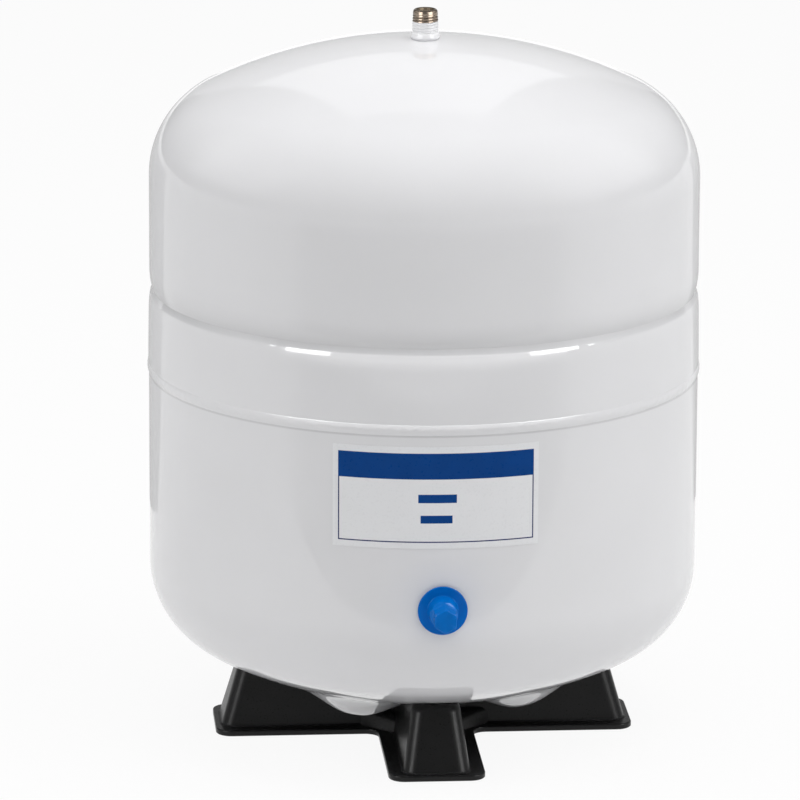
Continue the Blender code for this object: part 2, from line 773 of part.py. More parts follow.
def stand():
    """Moulded stand: a flanged cross with raised arms, hollow underneath, and a centre boss."""
    half, reach = 0.5 * ARM_WIDTH, ARM_LENGTH
    flange = cross(half, reach, FLANGE_CORNER_R, FLANGE_INNER_R, 4, 3)
    shoulder = dome_z(SEAT_R) - HUMP_ROUND
    middle = 0.5 * STAND_FLANGE
    below = -STAND_FLANGE

    rings = [raised(hump_outline(z, 0.0, 0.0), z) for z in (middle, shoulder)]
    for k in (1, 2, 3):
        turn = 0.5 * math.pi * k / 3
        z = shoulder + HUMP_ROUND * math.sin(turn)
        inset = HUMP_ROUND * (1.0 - math.cos(turn)) - (z - shoulder) * math.tan(SIDE_DRAFT)
        rings.append(raised(hump_outline(z, 0.0, inset), z))
    humps = helper("stand_humps", lofted(rings))

    hollow = helper("stand_hollow", lofted(
        [raised(hump_outline(z, STAND_WALL, 0.0), z) for z in (below, shoulder)]))
    combine(hollow, dome_cutter("bowl_outside", GAP + STAND_WALL), "DIFFERENCE")

    hub = helper("stand_hub", lofted(hub_rings(middle, 0.35, 0.0)))
    hub_hollow = helper("hub_hollow", lofted(hub_rings(2.0 * below, 0.30, STAND_WALL)))

    boss_line = [(0.0, 0.0), (BOSS_R, 0.0), (BOSS_R, DOME_CLEARANCE), (0.0, DOME_CLEARANCE)]
    boss = helper("stand_boss", turned(boss_line, VALVE_STEPS, False))

    plate = lofted([raised(flange, 0.0), raised(flange, STAND_FLANGE)])
    body = place("stand", plate, ((0.02, 0.02, 0.022), 0.5))
    combine(body, humps, "UNION")
    combine(body, hub, "UNION")
    combine(body, hollow, "DIFFERENCE")
    combine(body, hub_hollow, "DIFFERENCE")
    combine(body, boss, "UNION")
    combine(body, dome_cutter("bowl_inside", GAP), "DIFFERENCE")


def build():
    """Builds every piece."""
    for thing in list(bpy.data.objects):
        bpy.data.objects.remove(thing, do_unlink=True)
    upper_shell()
    lower_shell()
    seam_weld()
    clench_ring()
    liner()
    diaphragm()
    port_nipple()
    port_weld()
    port_o_ring()
    liner_nut()
    valve_stem()
    valve_fixings()
    core_barrel()
    core_spring()
    core_pin(moving_axis("pin_axis"))
    cap_axis = moving_axis("cap_axis")
    cap_seal(cap_axis)
    valve_cap(cap_axis)
    label()
    stand()


build()
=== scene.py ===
import math

import bmesh
import bpy
import numpy as np
from mathutils import Matrix, Vector


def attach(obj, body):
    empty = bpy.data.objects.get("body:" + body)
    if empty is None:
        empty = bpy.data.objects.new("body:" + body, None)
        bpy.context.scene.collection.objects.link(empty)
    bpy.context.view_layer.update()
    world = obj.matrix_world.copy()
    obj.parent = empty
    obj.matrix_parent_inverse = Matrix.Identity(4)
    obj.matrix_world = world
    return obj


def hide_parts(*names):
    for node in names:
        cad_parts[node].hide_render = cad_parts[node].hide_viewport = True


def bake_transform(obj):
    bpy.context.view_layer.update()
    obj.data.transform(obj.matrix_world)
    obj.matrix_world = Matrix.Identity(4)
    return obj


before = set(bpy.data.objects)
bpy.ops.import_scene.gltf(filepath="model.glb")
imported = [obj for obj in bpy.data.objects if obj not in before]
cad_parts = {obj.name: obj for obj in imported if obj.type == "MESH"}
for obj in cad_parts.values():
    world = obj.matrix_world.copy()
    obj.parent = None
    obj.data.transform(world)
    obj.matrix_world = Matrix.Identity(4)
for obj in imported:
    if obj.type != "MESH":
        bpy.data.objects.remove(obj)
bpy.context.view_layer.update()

FULL_TURN = 2.0 * math.pi
GAP = 0.0003

# Shells, in metres, as in the CAD
SHELL_R = 0.1400
SHEET = 0.0010
LOWER_R = 0.1404
RIM_R = 0.1387
DOME_CLEARANCE = 0.0194
LOWER_KNUCKLE_R = 0.0468
LOWER_CROWN_R = 0.2547
UPPER_KNUCKLE_R = 0.0487
UPPER_CROWN_R = 0.2603
RIM_STEP = 0.0017
RIM_BASE_Z = 0.2222
LOWER_REACH = LOWER_R - LOWER_KNUCKLE_R
LOWER_RISE = math.sqrt((LOWER_CROWN_R - LOWER_KNUCKLE_R) ** 2 - LOWER_REACH**2)
UPPER_RISE = math.sqrt((UPPER_CROWN_R - UPPER_KNUCKLE_R) ** 2 - (SHELL_R - UPPER_KNUCKLE_R) ** 2)
LOWER_TANGENT_Z = DOME_CLEARANCE + LOWER_CROWN_R - LOWER_RISE
SEAM_Z = LOWER_TANGENT_Z + 0.1027
GROOVE_Z = SEAM_Z + 0.0418
NOTCH_Z = GROOVE_Z - 0.0010
UPPER_TANGENT_Z = GROOVE_Z + 0.0571
CROWN_Z = UPPER_TANGENT_Z + UPPER_CROWN_R - UPPER_RISE
VALVE_Z = LOWER_TANGENT_Z + 0.0110
VALVE_ASIDE = -0.0011

# Foot of the lap band, and the weld bead: its wall at the top, its rise, and the most that its lumps reach
LAP_R = 0.14072
BEAD_TOP_R = 0.14066
BEAD_RISE = 0.00066
BEAD_LIMIT_R = 0.14128

# Feet stamped in the lower dome
LOBE_PITCH_R = 0.0620
LOBE_R = 0.0300
LOBE_FLAT_R = 0.0030
LOBE_DROP = 0.0087
LOBE_TURN = math.radians(52.5)

# Water port
PORT_R = 0.00660
PORT_TIP_R = 0.00625
PORT_BORE_R = 0.0042
PORT_RISE = 0.0154
PORT_DEPTH = 0.0135
THREAD_PITCH = 0.00141
THREAD_DEPTH = 0.00040
PAINT_TOP_Z = 0.3687

# Air valve's cap; heights run outwards from the shell
STEM_R = 0.00385
STEM_OUT = 0.0155
CAP_DISC_R = 0.0124
CAP_DISC_WALL = 0.0013
CAP_DISH = 0.0006
CAP_BASE_R = 0.00765
CAP_NECK_R = 0.00690
CAP_NECK_OUT = 0.0097
CAP_TIP_R = 0.00600
CAP_OUT = 0.0220
CAP_FLATS = 0.0108

# Valve core's spring; heights run outwards from the shell
SPRING_LOW = 0.01025
SPRING_HIGH = 0.01355
SPRING_R = 0.00105
SPRING_WIRE_R = 0.00015
SPRING_TURNS = 4

# Label
LABEL_WIDTH = 0.1040
LABEL_HEIGHT = 0.0520
LABEL_TOP_Z = SEAM_Z - 0.0083
LABEL_TURN = math.radians(-1.8)

# Stand
ARM_LENGTH = 0.1075
ARM_WIDTH = 0.0490
STAND_FLANGE = 0.0030
STAND_WALL = 0.0025
FLANGE_CORNER_R = 0.0080
FLANGE_INNER_R = 0.0070
FLANGE_EDGE = 0.0008
HUMP_WIDTH = 0.0340
HUMP_SETBACK = 0.0030
HUMP_CORNER_R = 0.0070
HUMP_ROUND = 0.0045
HUMP_FILLET = 0.0008
SEAT_R = 0.0910
END_DRAFT = math.radians(16.0)
SIDE_DRAFT = math.radians(8.5)
HUB_HEIGHT = 0.0112
HUB_FACE = 0.0354
HUB_ROUND = 0.0035
BOSS_R = 0.0080

ROUND_STEPS = 288


# Mesh helpers

def grid_faces(rows, columns, closed):
    """Quads of a grid whose columns wrap round, and whose rows do too if it is closed."""
    down, across = np.meshgrid(np.arange(rows if closed else rows - 1), np.arange(columns), indexing="ij")
    below, beside = (down + 1) % rows, (across + 1) % columns
    corners = [down * columns + across, down * columns + beside,
               below * columns + beside, below * columns + across]
    return np.stack(corners, axis=-1).reshape(-1, 4)


def linked(name, data):
    """A new object of some data, linked to the scene."""
    thing = bpy.data.objects.new(name, data)
    bpy.context.scene.collection.objects.link(thing)
    return thing


def body(name, points, faces, looks, angle=30.0, turned_to=None, pick=None):
    """A closed mesh object; pick chooses each face's look from its centre."""
    mesh = bpy.data.meshes.new(name)
    mesh.from_pydata(np.asarray(points).tolist(), [], faces if isinstance(faces, list) else faces.tolist())
    bm = bmesh.new()
    bm.from_mesh(mesh)
    bmesh.ops.remove_doubles(bm, verts=bm.verts, dist=1e-7)
    bmesh.ops.recalc_face_normals(bm, faces=bm.faces)
    if pick is not None:
        for face in bm.faces:
            face.material_index = pick(face.calc_center_median())
    bm.to_mesh(mesh)
    bm.free()
    if turned_to is not None:
        mesh.transform(turned_to)
    mesh.shade_smooth()
    mesh.set_sharp_from_angle(angle=math.radians(angle))
    for look in looks:
        mesh.materials.append(look)
    return linked(name, mesh)


def swept(profile, steps, warp=None, closed=True):
    """Points and faces of a profile of (radius, height) turned round Z, changed by warp(angle, r, z)."""
    line = np.asarray(profile)
    angle, r = np.meshgrid(FULL_TURN * np.arange(steps) / steps, line[:, 0])
    z = np.repeat(line[:, 1:2], steps, axis=1)
    if warp is not None:
        r, z = warp(angle, r, z)
    points = np.stack([r * np.cos(angle), r * np.sin(angle), z], axis=-1).reshape(-1, 3)
    return points, grid_faces(len(line), steps, closed)


def filleted(corners, steps=6):
    """A line through (radius, height, rounding) corners, each rounded by an arc."""
    pts = [np.array(c[:2], dtype=float) for c in corners]
    line = [tuple(pts[0])]
    for k in range(1, len(pts) - 1):
        size = corners[k][2]
        before, after = pts[k - 1] - pts[k], pts[k + 1] - pts[k]
        a, b = before / np.linalg.norm(before), after / np.linalg.norm(after)
        if size <= 0.0:
            line.append(tuple(pts[k]))
            continue
        half = 0.5 * math.acos(max(-1.0, min(1.0, float(a @ b))))
        reach = min(size / math.tan(half), 0.49 * np.linalg.norm(before), 0.49 * np.linalg.norm(after))
        radius = reach * math.tan(half)
        middle = pts[k] + (a + b) / np.linalg.norm(a + b) * radius / math.sin(half)
        start, end = pts[k] + a * reach - middle, pts[k] + b * reach - middle
        turn = math.atan2(start[0] * end[1] - start[1] * end[0], float(start @ end))
        for i in range(steps + 1):
            t = turn * i / steps
            c, s = math.cos(t), math.sin(t)
            line.append((middle[0] + c * start[0] - s * start[1], middle[1] + s * start[0] + c * start[1]))
    line.append(tuple(pts[-1]))
    return line


def divided(line, step):
    """The same line with no piece longer than a step."""
    found = [line[0]]
    for p, q in zip(line, line[1:]):
        count = max(1, math.ceil(math.hypot(q[0] - p[0], q[1] - p[1]) / step))
        found += [(p[0] + (q[0] - p[0]) * k / count, p[1] + (q[1] - p[1]) * k / count)
                  for k in range(1, count + 1)]
    return found


def ripple(seed, waves, low, high):
    """A smooth pattern round an angle, about -1 to 1, from seeded waves."""
    rng = np.random.default_rng(seed)
    counts = rng.integers(low, high, waves)
    shifts = rng.uniform(0.0, FULL_TURN, waves)
    leans = rng.uniform(-1.0, 1.0, waves)

    def at(angle, along=0.0):
        total = 0.0
        for n, s, lean in zip(counts, shifts, leans):
            total = total + np.sin(n * angle + s + lean * along)
        return total / math.sqrt(waves)
    return at


def head(wall_r, knuckle_r, crown_r, tangent_z, side, offset, inner_r, knuckle_steps=22, crown_step=0.003):
    """Points of a dished head offset inwards, from its wall to a radius on its crown."""
    reach = wall_r - knuckle_r
    rise = math.sqrt((crown_r - knuckle_r) ** 2 - reach**2)
    join = math.atan2(rise, reach)
    small, large = knuckle_r - offset, crown_r - offset
    line = []
    for i in range(knuckle_steps + 1):
        turn = join * i / knuckle_steps
        line.append((reach + small * math.cos(turn), tangent_z + side * small * math.sin(turn)))
    join_r = line[-1][0]
    count = math.ceil((join_r - inner_r) / crown_step)
    for i in range(1, count + 1):
        r = join_r + (inner_r - join_r) * i / count
        line.append((r, tangent_z + side * (math.sqrt(large**2 - r * r) - rise)))
    return line


def lobe_drop(x, y):
    """How far the stamped feet push the lower dome down."""
    drop = np.zeros_like(x)
    for i in range(4):
        turn = LOBE_TURN + FULL_TURN * i / 4
        away = np.hypot(x - LOBE_PITCH_R * math.sin(turn), y + LOBE_PITCH_R * math.cos(turn))
        share = np.clip((LOBE_R - away) / (LOBE_R - LOBE_FLAT_R), 0.0, 1.0)
        drop += LOBE_DROP * share**2 * (3.0 - 2.0 * share)
    return drop


def press_lobes(angle, r, z):
    """Warp that presses the four feet into the lower dome."""
    drop = lobe_drop(r * np.cos(angle), r * np.sin(angle))
    return r, np.where(z < LOWER_TANGENT_Z, z - drop, z)


def bake(thing):
    """Applies an object's modifiers to its mesh and removes them."""
    graph = bpy.context.evaluated_depsgraph_get()
    baked = bpy.data.meshes.new_from_object(thing.evaluated_get(graph))
    thing.modifiers.clear()
    thing.data = baked


def finish_boolean(thing, angle):
    """Marks an object's sharp edges and weights its normals by area."""
    weigh = thing.modifiers.new("weigh", "WEIGHTED_NORMAL")
    weigh.keep_sharp = True
    thing.data.set_sharp_from_angle(angle=math.radians(angle))
    bake(thing)


def combine(thing, other, operation):
    """Applies an exact Boolean of another object, which is then removed."""
    step = thing.modifiers.new(operation.lower(), "BOOLEAN")
    step.operation = operation
    step.solver = "EXACT"
    step.object = other
    bake(thing)
    bpy.data.objects.remove(other, do_unlink=True)


# Materials

# Sockets of a colour mix node
MIX_SHARE, MIX_FIRST, MIX_SECOND, MIX_RESULT = 0, 6, 7, 2


def shader_of(name, color, roughness, metallic=0.0, specular=0.5):
    """A new material and its Principled BSDF."""
    made = bpy.data.materials.new(name)
    made.use_nodes = True
    shader = made.node_tree.nodes["Principled BSDF"]
    shader.inputs["Base Color"].default_value = (*color, 1.0)
    shader.inputs["Roughness"].default_value = roughness
    shader.inputs["Metallic"].default_value = metallic
    shader.inputs["IOR"].default_value = 1.5
    shader.inputs["Specular IOR Level"].default_value = specular
    return made, shader


def node(made, kind, **values):
    """A node with its properties and inputs set."""
    added = made.node_tree.nodes.new(kind)
    for key, value in values.items():
        if hasattr(added, key):
            setattr(added, key, value)
        else:
            added.inputs[key.replace("_", " ").title()].default_value = value
    return added


def noise(made, scale, detail):
    """A noise texture in object space, in features per metre."""
    where = made.node_tree.nodes.new("ShaderNodeTexCoord")
    texture = node(made, "ShaderNodeTexNoise", scale=scale, detail=detail)
    made.node_tree.links.new(where.outputs["Object"], texture.inputs["Vector"])
    return texture


def span(made, source, low, high, start=0.3, end=0.7):
    """Maps a value between two numbers."""
    ranged = made.node_tree.nodes.new("ShaderNodeMapRange")
    for key, value in (("From Min", start), ("From Max", end), ("To Min", low), ("To Max", high)):
        ranged.inputs[key].default_value = value
    made.node_tree.links.new(source, ranged.inputs["Value"])
    return ranged.outputs["Result"]


def tinted(made, shader, source, first, second):
    """Colours a shader between two tints by a value."""
    mix = node(made, "ShaderNodeMix", data_type="RGBA")
    made.node_tree.links.new(span(made, source, 0.0, 1.0), mix.inputs[MIX_SHARE])
    mix.inputs[MIX_FIRST].default_value = (*first, 1.0)
    mix.inputs[MIX_SECOND].default_value = (*second, 1.0)
    made.node_tree.links.new(mix.outputs[MIX_RESULT], shader.inputs["Base Color"])


def bumped(made, shader, layers):
    """Adds stacked bumps of (value, height in metres)."""
    last = None
    for source, height in layers:
        bump = made.node_tree.nodes.new("ShaderNodeBump")
        bump.inputs["Strength"].default_value = 1.0
        bump.inputs["Distance"].default_value = height
        made.node_tree.links.new(source, bump.inputs["Height"])
        if last is not None:
            made.node_tree.links.new(last.outputs["Normal"], bump.inputs["Normal"])
        last = bump
    made.node_tree.links.new(last.outputs["Normal"], shader.inputs["Normal"])


def finish_of(name, color, roughness, metallic=0.0, spread=0.12, scale=180.0, height=0.00003, specular=0.5):
    """A plain finish with fine mottling, uneven gloss and a shallow grain."""
    made, shader = shader_of(name, color, roughness, metallic, specular)
    mottle = noise(made, scale, 4.0)
    grain = noise(made, 9.0 * scale, 2.0)
    dark = tuple(c * (1.0 - spread) for c in color)
    light = tuple(min(1.0, c * (1.0 + spread)) for c in color)
    tinted(made, shader, mottle.outputs["Fac"], dark, light)
    gloss = span(made, grain.outputs["Fac"], roughness * 0.8, min(1.0, roughness * 1.25))
    made.node_tree.links.new(gloss, shader.inputs["Roughness"])
    bumped(made, shader, [(grain.outputs["Fac"], height)])
    return made


def painted_shade(made, shader, stops):
    """Darkens the base colour by (height, share) stops: painted shade just under the seam's bead and in the
    groove.
    """
    links = made.node_tree.links
    where = made.node_tree.nodes.new("ShaderNodeTexCoord")
    split = made.node_tree.nodes.new("ShaderNodeSeparateXYZ")
    links.new(where.outputs["Object"], split.inputs["Vector"])
    low, high = stops[0][0], stops[-1][0]
    ramp = made.node_tree.nodes.new("ShaderNodeValToRGB")
    links.new(span(made, split.outputs["Z"], 0.0, 1.0, low, high), ramp.inputs["Fac"])
    marks = ramp.color_ramp.elements
    marks[0].color = marks[1].color = (1.0, 1.0, 1.0, 1.0)
    for height, share in stops[1:-1]:
        marks.new((height - low) / (high - low)).color = (share, share, share, 1.0)
    mix = node(made, "ShaderNodeMix", data_type="RGBA", blend_type="MULTIPLY")
    mix.inputs[MIX_SHARE].default_value = 1.0
    links.new(shader.inputs["Base Color"].links[0].from_socket, mix.inputs[MIX_FIRST])
    links.new(ramp.outputs["Color"], mix.inputs[MIX_SECOND])
    links.new(mix.outputs[MIX_RESULT], shader.inputs["Base Color"])


def enamel(name, color=(0.80, 0.80, 0.815), roughness=0.04, peel=0.000006, painted_shade_stops=()):
    """White stoved enamel: glossy, faintly clouded, with orange peel, and painted shade if heights are
    given.
    """
    made, shader = shader_of(name, color, roughness)
    cloud = noise(made, 14.0, 2.0)
    wave = noise(made, 260.0, 2.0)
    fine = noise(made, 900.0, 2.0)
    dark, light = tuple(c * 0.985 for c in color), tuple(c * 1.01 for c in color)
    tinted(made, shader, cloud.outputs["Fac"], dark, light)
    # Painted shade: the colour darkens by height in the groove and under the bead
    if painted_shade_stops:
        painted_shade(made, shader, painted_shade_stops)
    gloss = span(made, fine.outputs["Fac"], roughness * 0.85, roughness * 1.2)
    made.node_tree.links.new(gloss, shader.inputs["Roughness"])
    bumped(made, shader, [(wave.outputs["Fac"], peel), (fine.outputs["Fac"], 0.15 * peel)])
    return made


# Painted shade just under the seam's bead and in the groove: heights, and the share of the enamel's colour
# that is left there
GROOVE_PAINTED_SHADE = ((SEAM_Z - 0.0060, 1.0), (SEAM_Z - 0.0040, 1.0), (SEAM_Z - 0.0035, 0.84), (SEAM_Z - 0.0028, 0.82),
        (SEAM_Z - 0.0022, 1.0), (NOTCH_Z - 0.0042, 1.0), (NOTCH_Z - 0.0034, 0.98), (NOTCH_Z - 0.0026, 0.90),
        (NOTCH_Z - 0.0015, 0.87), (NOTCH_Z, 0.85), (NOTCH_Z + 0.0026, 0.90), (NOTCH_Z + 0.0048, 0.94),
        (NOTCH_Z + 0.0074, 0.965), (NOTCH_Z + 0.0120, 0.99), (NOTCH_Z + 0.0200, 1.0))
# The white enamel carries painted shade under the bead and in the groove
WHITE = enamel("white_enamel", painted_shade_stops=GROOVE_PAINTED_SHADE)
BEAD_WHITE = enamel("weld_enamel", roughness=0.16, peel=0.00010)
# A lighter copy of the white enamel for the port's threads and collar: painted light
PAINTED_THREAD = enamel("thread_enamel", (0.93, 0.93, 0.945), 0.12, 0.000008)
NICKEL = finish_of("nickel_bronze", (0.30, 0.245, 0.195), 0.23, 1.0, 0.12, 300.0, 0.000006)
# Darker nickel inside the bore is painted shade in the hole; its roughness is higher too
BORE = finish_of("port_bore", (0.15, 0.120, 0.085), 0.50, 1.0, 0.15, 300.0, 0.00001)
CAP_BLUE = finish_of("cap_blue", (0.0, 0.146, 0.535), 0.20, 0.0, 0.05, 260.0, 0.000006, 0.10)
STAND_BLACK = finish_of("stand_black", (0.0078, 0.0078, 0.0081), 0.33, 0.0, 0.1, 160.0, 0.000002, 0.24)
FILM = finish_of("label_film", (0.83, 0.835, 0.85), 0.30, 0.0, 0.008, 90.0, 0.000004, 0.3)
PRINT_BLUE = finish_of("label_blue", (0.0003, 0.051, 0.235), 0.32, 0.0, 0.06, 90.0, 0.000004, 0.12)
SPRING_STEEL = finish_of("spring_steel", (0.56, 0.56, 0.57), 0.28, 1.0, 0.08, 900.0, 0.000006)
PRINT_NAVY = finish_of("label_navy", (0.015, 0.022, 0.12), 0.35, 0.0, 0.06, 90.0, 0.000004, 0.12)


# Making the shells and the port

def shoulder():
    """The lap band's upper part, from its straight side up over the shoulder into the groove."""
    round_start, lip_start, lip_length = 0.0125, 0.0040, 0.0009
    side_tilt, round_tilt, lip_tilt = 0.7, 7.5, 11.3
    z, r, line = GROOVE_Z - 0.0135, LAP_R - 0.0003, []
    step = 0.00025
    while z < NOTCH_Z - 1e-6:
        line.append((r, z))
        below_notch = NOTCH_Z - z
        if below_notch > lip_start:
            share = max(0.0, (round_start - below_notch) / (round_start - lip_start))
            tilt = side_tilt + round_tilt * share**1.5
        else:
            share = min(1.0, (lip_start - below_notch) / lip_length)
            tilt = side_tilt + round_tilt + lip_tilt * share
        r -= step * math.tan(math.radians(tilt))
        z += step
    return line + [(r, NOTCH_Z)]


def upper_shell():
    """Upper half in two pieces that meet in the groove: the lap band, and the wall with the crown."""
    band = [(LAP_R, SEAM_Z + 0.0008), (LAP_R - 0.00008, SEAM_Z + 0.0120), (LAP_R - 0.00022, SEAM_Z + 0.0220)]
    band += shoulder()
    notch_r = band[-1][0]
    inside_r = notch_r - SHEET + GAP
    inner = [(LAP_R - SHEET, SEAM_Z + 0.0008), (0.13935, GROOVE_Z - 0.0140), (0.13915, GROOVE_Z - 0.0070),
             (inside_r, NOTCH_Z)]
    points, faces = swept(divided(band, 0.006) + inner[::-1], ROUND_STEPS)
    lap = body("lap_band", points, faces, [WHITE], 40.0)
    rise_height, rise_steps, rise_power = 0.0105, 16, 2.1
    rise = []
    for k in range(rise_steps + 1):
        inset = (SHELL_R - notch_r) * (1.0 - k / rise_steps) ** rise_power
        rise.append((SHELL_R - inset, NOTCH_Z + rise_height * k / rise_steps))
    hole_r = 0.0064
    outer = rise + head(SHELL_R, UPPER_KNUCKLE_R, UPPER_CROWN_R, UPPER_TANGENT_Z, 1, 0.0, hole_r)
    inner = [(inside_r, NOTCH_Z), (SHELL_R - SHEET, GROOVE_Z + 0.0070)]
    inner += head(SHELL_R, UPPER_KNUCKLE_R, UPPER_CROWN_R, UPPER_TANGENT_Z, 1, SHEET, hole_r, 12, 0.008)
    points, faces = swept(divided(outer, 0.006) + inner[::-1], ROUND_STEPS)
    shell = body("tank_upper", points, faces, [WHITE], 40.0)
    for piece in (lap, shell):
        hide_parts("upper_shell")
        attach(piece, "tank")
    return lap


def lower_shell():
    """Lower half: rim inside the lap, wall, knuckle and dome with four stamped feet."""
    def side(offset, crown_step):
        top = [(RIM_R - offset, RIM_BASE_Z), (RIM_R - offset, SEAM_Z + GAP),
               (LOWER_R - offset, SEAM_Z - RIM_STEP)]
        return top + head(LOWER_R, LOWER_KNUCKLE_R, LOWER_CROWN_R, LOWER_TANGENT_Z, -1, offset, 0.0,
                          22, crown_step)
    outer = divided(side(0.0, 0.0016), 0.006)
    inner = divided(side(SHEET, 0.004), 0.02)
    points, faces = swept(outer[::-1] + inner, ROUND_STEPS, press_lobes, False)
    shell = body("tank_lower", points, faces, [WHITE], 40.0)
    hole = filleted([(0.0, -0.004, 0), (STEM_R + GAP, -0.004, 0), (STEM_R + GAP, 0.004, 0), (0.0, 0.004, 0)])
    points, faces = swept(hole, 48, None, False)
    cutter = body("valve_hole_cutter", points, faces, [WHITE], 40.0, valve_frame())
    combine(shell, cutter, "DIFFERENCE")
    shell.data.set_sharp_from_angle(angle=math.radians(40.0))
    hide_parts("lower_shell")
    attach(shell, "tank")


def seam_bead():
    """Painted weld bead: smooth above, lumpy below."""
    low, high = SEAM_Z - 0.0029, SEAM_Z + 0.0027
    lumps = ripple(11, 14, 60, 210)
    slow = ripple(12, 5, 5, 23)
    count = 18
    arc = []
    for k in range(count + 1):
        s = k / count
        out = math.sin(math.pi * s ** 1.05) ** 0.75
        wall = BEAD_TOP_R + (LOWER_R - 0.00006 - BEAD_TOP_R) * s
        arc.append((wall + out * BEAD_RISE, high + (low - high) * s))
    inner = [(LOWER_R + GAP - 0.0004, low), (LOWER_R - 0.0001, SEAM_Z - RIM_STEP), (RIM_R + 0.0010, SEAM_Z),
             (RIM_R + 0.0010, SEAM_Z + 0.0005), (0.1400, SEAM_Z + 0.0005), (0.1402, high)]

    def warp(angle, r, z):
        share = np.clip((high - z) / (high - low), 0.0, 1.0)
        outside = (r > LOWER_R - 0.00005).astype(float)
        strength = outside * np.sin(np.pi * share) * (0.15 + 0.85 * share)
        bump = lumps(angle, 2600.0 * (z - SEAM_Z)) * 0.00007 + slow(angle) * 0.00003
        wave = outside * share * slow(angle, 40.0) * 0.00010
        return np.minimum(r + strength * bump, BEAD_LIMIT_R), z + wave
    points, faces = swept(arc + inner, 1080, warp)
    bead = body("seam_bead", points, faces, [BEAD_WHITE], 60.0)
    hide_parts("seam_weld")
    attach(bead, "tank")
    return bead


def water_port():
    """Threaded port: painted over the lower threads, bare nickel above, rounded mouth."""
    low, top = CROWN_Z - PORT_DEPTH, CROWN_Z + PORT_RISE
    foot, taper_start = CROWN_Z + 0.0015, CROWN_Z + 0.0090
    lip_height, lip_inset = 0.0016, 0.0013
    outer = divided([(PORT_R - 0.0005, low), (PORT_R, low + 0.0005), (PORT_R, foot)], 0.004)
    outer += divided([(PORT_R, foot), (PORT_R, taper_start), (PORT_TIP_R, top - lip_height)], 0.00011)[1:]
    mouth = [(PORT_TIP_R - lip_inset * (1 - math.cos(t)), top - lip_height + lip_height * math.sin(t))
             for t in np.linspace(0.0, 0.5 * math.pi, 9)[1:]]
    bore = [(PORT_BORE_R + 0.0003, top), (PORT_BORE_R, top - 0.0003), (PORT_BORE_R, low)]
    drips = ripple(5, 6, 2, 11)

    def thread(angle, r, z):
        start, end = CROWN_Z + 0.0030, top - 0.0022
        painted_width, bare_width, painted_share = 0.28, 0.34, 0.80
        fade = np.clip((z - start) / 0.001, 0.0, 1.0) * np.clip((end - z) / 0.0008, 0.0, 1.0)
        phase = (z / THREAD_PITCH - angle / FULL_TURN) % 1.0
        painted = z < PAINT_TOP_Z
        vee = np.clip(1.0 - np.abs(phase - 0.5) / np.where(painted, painted_width, bare_width), 0.0, 1.0)
        left = np.where(painted, painted_share, 1.0)
        cut = np.where(r > PORT_BORE_R + 0.001, THREAD_DEPTH * fade * left * vee, 0.0)
        return r - cut, z
    points, faces = swept(outer + mouth + bore, 96, thread)

    looks = [NICKEL, PAINTED_THREAD, BORE]

    def pick(centre):
        edge = PAINT_TOP_Z + 0.00006 * float(drips(math.atan2(centre.y, centre.x)))
        if math.hypot(centre.x, centre.y) <= PORT_BORE_R + 0.001:
            return looks.index(BORE)
        return looks.index(PAINTED_THREAD if centre.z < edge else NICKEL)
    port = body("water_port", points, faces, looks, 50.0, None, pick)
    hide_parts("port_nipple")
    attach(port, "tank")

    uneven = ripple(21, 7, 2, 17)
    section = filleted([
        (0.0060, CROWN_Z - 0.0003, 0.0), (0.0070, CROWN_Z + 0.0002, 0.0),
        (0.00752, CROWN_Z + 0.0014, 0.0002), (0.0070, CROWN_Z + 0.0033, 0.0006),
        (0.0065, CROWN_Z + 0.0036, 0.0), (0.0060, CROWN_Z + 0.0036, 0.0)])

    def lumpy(angle, r, z):
        share = np.clip((r - 0.0068) / 0.0006, 0.0, 1.0)
        return r + share * uneven(angle) * 0.00006, z + share * uneven(angle + 1.0) * 0.00010
    points, faces = swept(section, 120, lumpy)
    collar = body("port_collar", points, faces, [PAINTED_THREAD], 60.0)
    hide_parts("port_weld")
    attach(collar, "tank")
    return port, collar


# Making the air valve's cap and spring

def valve_frame():
    """Placement of the air valve: its local Z points outwards from the shell."""
    return Matrix.Translation((VALVE_ASIDE, -LOWER_R, VALVE_Z)) @ Matrix.Rotation(0.5 * math.pi, 4, "X")


